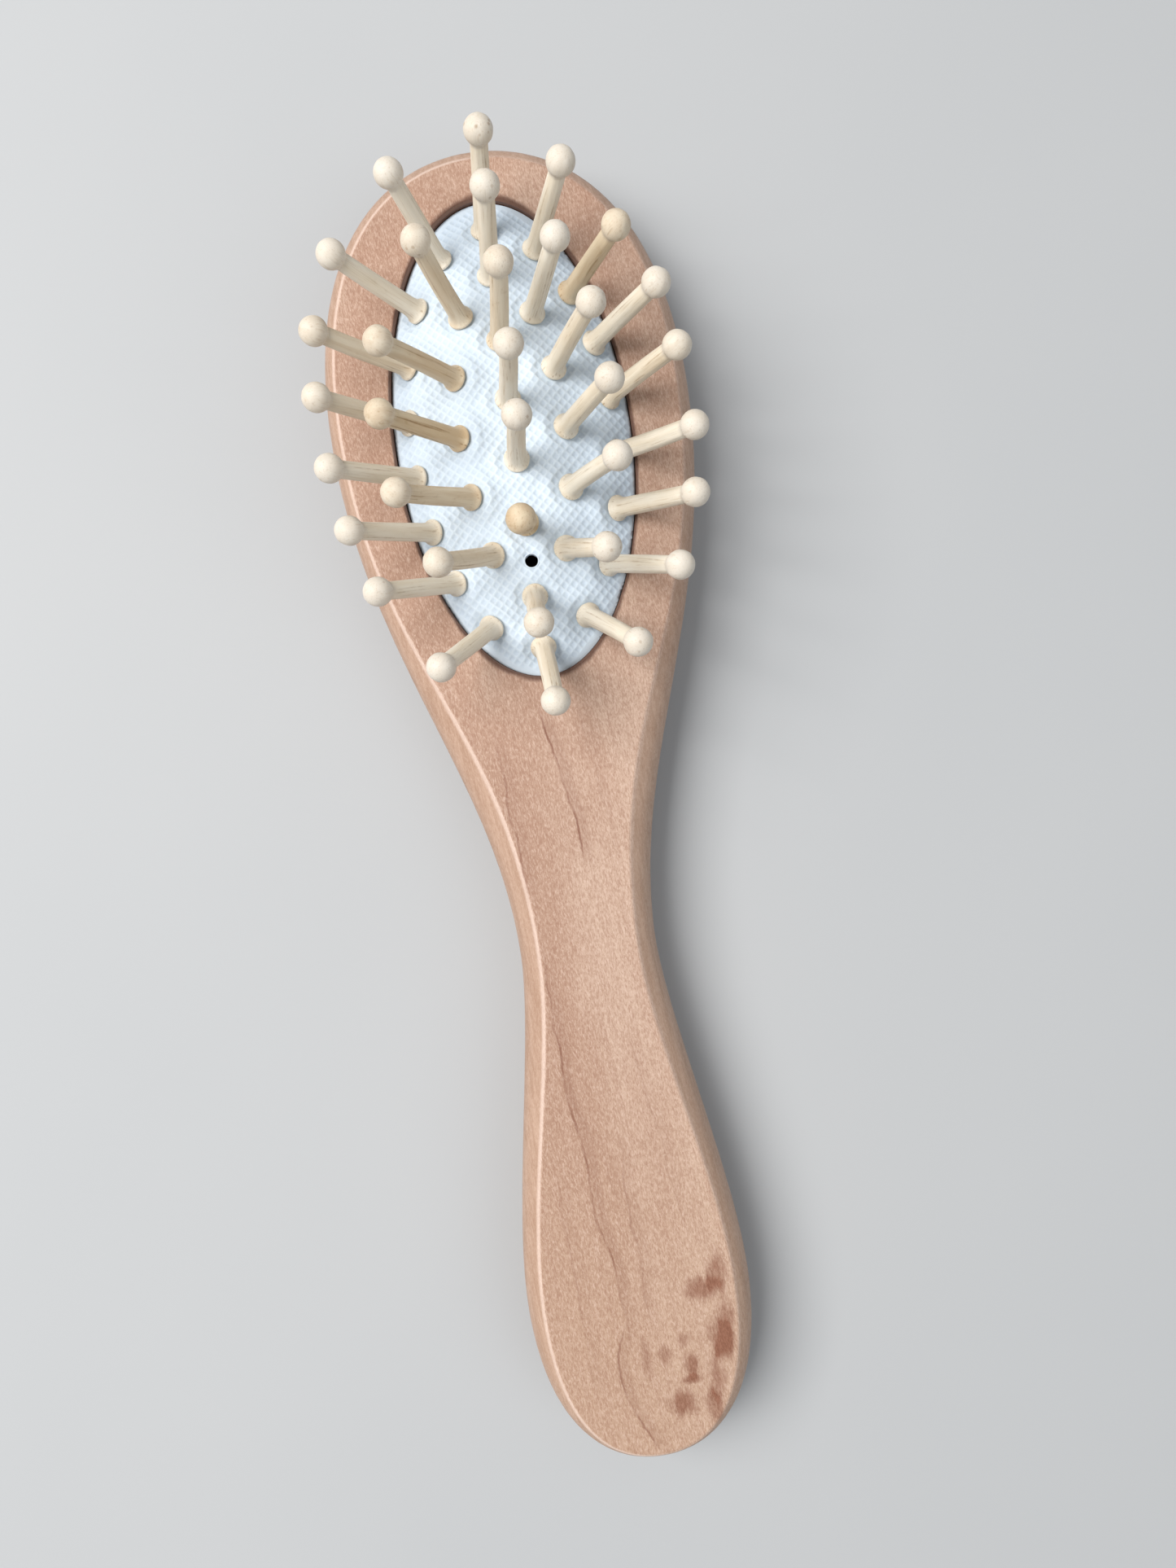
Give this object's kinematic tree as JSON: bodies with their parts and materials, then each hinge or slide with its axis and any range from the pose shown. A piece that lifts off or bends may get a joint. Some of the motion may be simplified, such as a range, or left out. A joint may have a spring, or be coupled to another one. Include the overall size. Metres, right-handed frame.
{
  "type": "cushion hairbrush",
  "caption": "Small one-piece wooden cushion hairbrush with an oval rubber cushion and ball-tipped turned bamboo pins that rock in it.",
  "frame": {"origin": "centre of the wood's footprint on its flat back, half way along the brush", "axes": "+Z out of the pin side, +Y along the brush from the handle's end to the head, +X across it"},
  "size_m": [0.0498, 0.1784, 0.033],
  "materials": {
    "wood": "sanded, unvarnished",
    "rubber": "matt, with a fine waffle pattern",
    "bamboo": "tumbled, unvarnished"
  },
  "bodies": {
    "handle": {"handle_body": "wood"},
    "cushion": {"cushion": "rubber"},
    "outer_pin_01": {"outer_pin_01": "bamboo"},
    "outer_pin_02": {"outer_pin_02": "bamboo"},
    "outer_pin_03": {"outer_pin_03": "bamboo"},
    "outer_pin_04": {"outer_pin_04": "bamboo"},
    "outer_pin_05": {"outer_pin_05": "bamboo"},
    "outer_pin_06": {"outer_pin_06": "bamboo"},
    "outer_pin_07": {"outer_pin_07": "bamboo"},
    "outer_pin_08": {"outer_pin_08": "bamboo"},
    "outer_pin_09": {"outer_pin_09": "bamboo"},
    "outer_pin_10": {"outer_pin_10": "bamboo"},
    "outer_pin_11": {"outer_pin_11": "bamboo"},
    "outer_pin_12": {"outer_pin_12": "bamboo"},
    "outer_pin_13": {"outer_pin_13": "bamboo"},
    "outer_pin_14": {"outer_pin_14": "bamboo"},
    "outer_pin_15": {"outer_pin_15": "bamboo"},
    "outer_pin_16": {"outer_pin_16": "bamboo"},
    "outer_pin_17": {"outer_pin_17": "bamboo"},
    "outer_pin_18": {"outer_pin_18": "bamboo"},
    "inner_pin_01": {"inner_pin_01": "bamboo"},
    "inner_pin_02": {"inner_pin_02": "bamboo"},
    "inner_pin_03": {"inner_pin_03": "bamboo"},
    "inner_pin_04": {"inner_pin_04": "bamboo"},
    "inner_pin_05": {"inner_pin_05": "bamboo"},
    "inner_pin_06": {"inner_pin_06": "bamboo"},
    "inner_pin_07": {"inner_pin_07": "bamboo"},
    "inner_pin_08": {"inner_pin_08": "bamboo"},
    "inner_pin_09": {"inner_pin_09": "bamboo"},
    "inner_pin_10": {"inner_pin_10": "bamboo"},
    "inner_pin_11": {"inner_pin_11": "bamboo"},
    "inner_pin_12": {"inner_pin_12": "bamboo"},
    "centre_pin_01": {"centre_pin_01": "bamboo"},
    "centre_pin_02": {"centre_pin_02": "bamboo"},
    "centre_pin_03": {"centre_pin_03": "bamboo"},
    "centre_pin_04": {"centre_pin_04": "bamboo"}
  },
  "joints": [
    {"name": "cushion_press", "type": "slide", "parent": "handle", "child": "cushion", "axis": [0, 0, -1], "range_m": [0, 0.0008], "stiffness_N_per_m": 3000, "deforming": ["cushion"]},
    {"name": "outer_pin_01_rock", "type": "hinge", "parent": "cushion", "child": "outer_pin_01", "pos_m": [-0.00005, 0.07565, 0.01273], "axis": [0, 1, 0], "range_deg": [-12, 12], "stiffness_Nm_per_rad": 0.01},
    {"name": "outer_pin_02_rock", "type": "hinge", "parent": "cushion", "child": "outer_pin_02", "pos_m": [0.0062, 0.07233, 0.01277], "axis": [0, 1, 0], "range_deg": [-12, 5], "stiffness_Nm_per_rad": 0.01},
    {"name": "outer_pin_03_rock", "type": "hinge", "parent": "cushion", "child": "outer_pin_03", "pos_m": [0.00988, 0.06605, 0.01283], "axis": [0, 1, 0], "range_deg": [-12, 5], "stiffness_Nm_per_rad": 0.01},
    {"name": "outer_pin_04_rock", "type": "hinge", "parent": "cushion", "child": "outer_pin_04", "pos_m": [0.01193, 0.05895, 0.01289], "axis": [0, 1, 0], "range_deg": [-12, 5], "stiffness_Nm_per_rad": 0.01},
    {"name": "outer_pin_05_rock", "type": "hinge", "parent": "cushion", "child": "outer_pin_05", "pos_m": [0.01287, 0.05162, 0.01289], "axis": [0, 1, 0], "range_deg": [-12, 5], "stiffness_Nm_per_rad": 0.01},
    {"name": "outer_pin_06_rock", "type": "hinge", "parent": "cushion", "child": "outer_pin_06", "pos_m": [0.01284, 0.0443, 0.01288], "axis": [0, 1, 0], "range_deg": [-12, 5], "stiffness_Nm_per_rad": 0.01},
    {"name": "outer_pin_07_rock", "type": "hinge", "parent": "cushion", "child": "outer_pin_07", "pos_m": [0.01186, 0.03698, 0.01281], "axis": [0, 1, 0], "range_deg": [-12, 5], "stiffness_Nm_per_rad": 0.01},
    {"name": "outer_pin_08_rock", "type": "hinge", "parent": "cushion", "child": "outer_pin_08", "pos_m": [0.00977, 0.02994, 0.01269], "axis": [0, 1, 0], "range_deg": [-12, 5], "stiffness_Nm_per_rad": 0.01},
    {"name": "outer_pin_09_rock", "type": "hinge", "parent": "cushion", "child": "outer_pin_09", "pos_m": [0.00609, 0.02368, 0.01255], "axis": [0, 1, 0], "range_deg": [-12, 5], "stiffness_Nm_per_rad": 0.01},
    {"name": "outer_pin_10_rock", "type": "hinge", "parent": "cushion", "child": "outer_pin_10", "pos_m": [-0.00013, 0.02047, 0.01249], "axis": [0, 1, 0], "range_deg": [-12, 12], "stiffness_Nm_per_rad": 0.01},
    {"name": "outer_pin_11_rock", "type": "hinge", "parent": "cushion", "child": "outer_pin_11", "pos_m": [-0.00618, 0.02383, 0.01257], "axis": [0, 1, 0], "range_deg": [-5, 12], "stiffness_Nm_per_rad": 0.01},
    {"name": "outer_pin_12_rock", "type": "hinge", "parent": "cushion", "child": "outer_pin_12", "pos_m": [-0.00981, 0.03006, 0.01271], "axis": [0, 1, 0], "range_deg": [-5, 12], "stiffness_Nm_per_rad": 0.01},
    {"name": "outer_pin_13_rock", "type": "hinge", "parent": "cushion", "child": "outer_pin_13", "pos_m": [-0.01189, 0.03716, 0.01281], "axis": [0, 1, 0], "range_deg": [-5, 12], "stiffness_Nm_per_rad": 0.01},
    {"name": "outer_pin_14_rock", "type": "hinge", "parent": "cushion", "child": "outer_pin_14", "pos_m": [-0.01283, 0.04446, 0.01289], "axis": [0, 1, 0], "range_deg": [-5, 12], "stiffness_Nm_per_rad": 0.01},
    {"name": "outer_pin_15_rock", "type": "hinge", "parent": "cushion", "child": "outer_pin_15", "pos_m": [-0.0128, 0.05179, 0.01295], "axis": [0, 1, 0], "range_deg": [-5, 12], "stiffness_Nm_per_rad": 0.01},
    {"name": "outer_pin_16_rock", "type": "hinge", "parent": "cushion", "child": "outer_pin_16", "pos_m": [-0.01179, 0.05915, 0.01297], "axis": [0, 1, 0], "range_deg": [-5, 12], "stiffness_Nm_per_rad": 0.01},
    {"name": "outer_pin_17_rock", "type": "hinge", "parent": "cushion", "child": "outer_pin_17", "pos_m": [-0.00966, 0.06626, 0.01291], "axis": [0, 1, 0], "range_deg": [-5, 12], "stiffness_Nm_per_rad": 0.01},
    {"name": "outer_pin_18_rock", "type": "hinge", "parent": "cushion", "child": "outer_pin_18", "pos_m": [-0.00605, 0.07245, 0.01278], "axis": [0, 1, 0], "range_deg": [-5, 12], "stiffness_Nm_per_rad": 0.01},
    {"name": "inner_pin_01_rock", "type": "hinge", "parent": "cushion", "child": "inner_pin_01", "pos_m": [-0.00004, 0.06884, 0.01432], "axis": [0, 1, 0], "range_deg": [-12, 12], "stiffness_Nm_per_rad": 0.01},
    {"name": "inner_pin_02_rock", "type": "hinge", "parent": "cushion", "child": "inner_pin_02", "pos_m": [0.0046, 0.06313, 0.01481], "axis": [0, 1, 0], "range_deg": [-12, 12], "stiffness_Nm_per_rad": 0.01},
    {"name": "inner_pin_03_rock", "type": "hinge", "parent": "cushion", "child": "inner_pin_03", "pos_m": [0.00624, 0.05547, 0.0152], "axis": [0, 1, 0], "range_deg": [-12, 12], "stiffness_Nm_per_rad": 0.01},
    {"name": "inner_pin_04_rock", "type": "hinge", "parent": "cushion", "child": "inner_pin_04", "pos_m": [0.0067, 0.04767, 0.0153], "axis": [0, 1, 0], "range_deg": [-12, 12], "stiffness_Nm_per_rad": 0.01},
    {"name": "inner_pin_05_rock", "type": "hinge", "parent": "cushion", "child": "inner_pin_05", "pos_m": [0.00619, 0.03987, 0.0151], "axis": [0, 1, 0], "range_deg": [-12, 12], "stiffness_Nm_per_rad": 0.01},
    {"name": "inner_pin_06_rock", "type": "hinge", "parent": "cushion", "child": "inner_pin_06", "pos_m": [0.00449, 0.0323, 0.01462], "axis": [0, 1, 0], "range_deg": [-12, 12], "stiffness_Nm_per_rad": 0.01},
    {"name": "inner_pin_07_rock", "type": "hinge", "parent": "cushion", "child": "inner_pin_07", "pos_m": [-0.00022, 0.02683, 0.01407], "axis": [0, 1, 0], "range_deg": [-12, 12], "stiffness_Nm_per_rad": 0.01},
    {"name": "inner_pin_08_rock", "type": "hinge", "parent": "cushion", "child": "inner_pin_08", "pos_m": [-0.00456, 0.03268, 0.01468], "axis": [0, 1, 0], "range_deg": [-12, 12], "stiffness_Nm_per_rad": 0.01},
    {"name": "inner_pin_09_rock", "type": "hinge", "parent": "cushion", "child": "inner_pin_09", "pos_m": [-0.00614, 0.04038, 0.01519], "axis": [0, 1, 0], "range_deg": [-12, 12], "stiffness_Nm_per_rad": 0.01},
    {"name": "inner_pin_10_rock", "type": "hinge", "parent": "cushion", "child": "inner_pin_10", "pos_m": [-0.00658, 0.04803, 0.01536], "axis": [0, 1, 0], "range_deg": [-12, 12], "stiffness_Nm_per_rad": 0.01},
    {"name": "inner_pin_11_rock", "type": "hinge", "parent": "cushion", "child": "inner_pin_11", "pos_m": [-0.00607, 0.05594, 0.01524], "axis": [0, 1, 0], "range_deg": [-12, 12], "stiffness_Nm_per_rad": 0.01},
    {"name": "inner_pin_12_rock", "type": "hinge", "parent": "cushion", "child": "inner_pin_12", "pos_m": [-0.00437, 0.06372, 0.01477], "axis": [0, 1, 0], "range_deg": [-12, 12], "stiffness_Nm_per_rad": 0.01},
    {"name": "centre_pin_01_rock", "type": "hinge", "parent": "cushion", "child": "centre_pin_01", "pos_m": [-0.00005, 0.05977, 0.01555], "axis": [0, 1, 0], "range_deg": [-12, 12], "stiffness_Nm_per_rad": 0.01},
    {"name": "centre_pin_02_rock", "type": "hinge", "parent": "cushion", "child": "centre_pin_02", "pos_m": [-0.00004, 0.05196, 0.016], "axis": [0, 1, 0], "range_deg": [-12, 12], "stiffness_Nm_per_rad": 0.01},
    {"name": "centre_pin_03_rock", "type": "hinge", "parent": "cushion", "child": "centre_pin_03", "pos_m": [-0.00003, 0.04408, 0.01598], "axis": [0, 1, 0], "range_deg": [-12, 12], "stiffness_Nm_per_rad": 0.01},
    {"name": "centre_pin_04_rock", "type": "hinge", "parent": "cushion", "child": "centre_pin_04", "pos_m": [0.00002, 0.03612, 0.01544], "axis": [0, 1, 0], "range_deg": [-12, 12], "stiffness_Nm_per_rad": 0.01}
  ]
}
